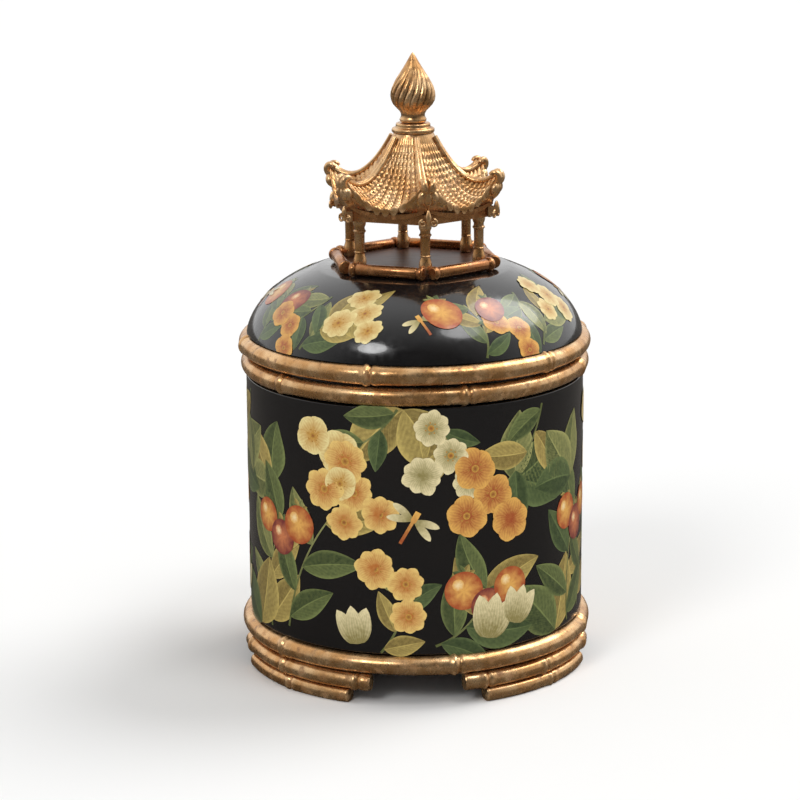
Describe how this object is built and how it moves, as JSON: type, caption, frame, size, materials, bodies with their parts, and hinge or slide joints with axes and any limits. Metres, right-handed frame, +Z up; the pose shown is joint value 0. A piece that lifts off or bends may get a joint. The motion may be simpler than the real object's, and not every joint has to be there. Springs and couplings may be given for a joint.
{
  "type": "lidded storage jar",
  "caption": "Round black-lacquered jar on bamboo-style feet, with a domed lift-off lid that carries a small open pagoda and a flame finial.",
  "frame": {"origin": "on the floor, under the middle of the jar", "axes": "+Z up through the finial, -Y towards the picture's camera"},
  "size_m": [0.2028, 0.2028, 0.3485],
  "materials": {
    "lacquer": "black lacquer on wood, polished",
    "gilt": "antique gold leaf on carved wood, worn to reddish brown",
    "dark_wood": "dark stained wood",
    "steel": "plain steel"
  },
  "bodies": {
    "jar": {"jar_wall": "lacquer", "jar_bottom": "dark_wood", "base_ring": "gilt", "jar_rim_ring": "gilt", "lower_cane_1": "gilt", "lower_cane_2": "gilt", "lower_cane_3": "gilt", "lower_cane_4": "gilt", "upper_cane_1": "gilt", "upper_cane_2": "gilt", "upper_cane_3": "gilt", "upper_cane_4": "gilt"},
    "lid": {"lid_dome": "lacquer", "lid_rim_ring": "gilt", "lid_locating_collar": "dark_wood", "base_plate": "dark_wood", "entablature": "gilt", "roof": "gilt", "roof_collar": "gilt", "flame_finial": "gilt", "fixing_screw": "steel", "fixing_washer": "steel", "base_rail_1": "gilt", "base_rail_2": "gilt", "base_rail_3": "gilt", "base_rail_4": "gilt", "base_rail_5": "gilt", "base_rail_6": "gilt", "column_1": "gilt", "column_2": "gilt", "column_3": "gilt", "column_4": "gilt", "column_5": "gilt", "column_6": "gilt", "valance_1": "gilt", "valance_2": "gilt", "valance_3": "gilt", "valance_4": "gilt", "valance_5": "gilt", "valance_6": "gilt", "bracket_1": "gilt", "bracket_2": "gilt", "bracket_3": "gilt", "bracket_4": "gilt", "bracket_5": "gilt", "bracket_6": "gilt", "hip_ridge_1": "gilt", "hip_ridge_2": "gilt", "hip_ridge_3": "gilt", "hip_ridge_4": "gilt", "hip_ridge_5": "gilt", "hip_ridge_6": "gilt"}
  },
  "joints": [
    {"name": "lid_lift", "type": "slide", "parent": "jar", "child": "lid", "axis": [0, 0, 1], "range_m": [0, 0.2]}
  ]
}
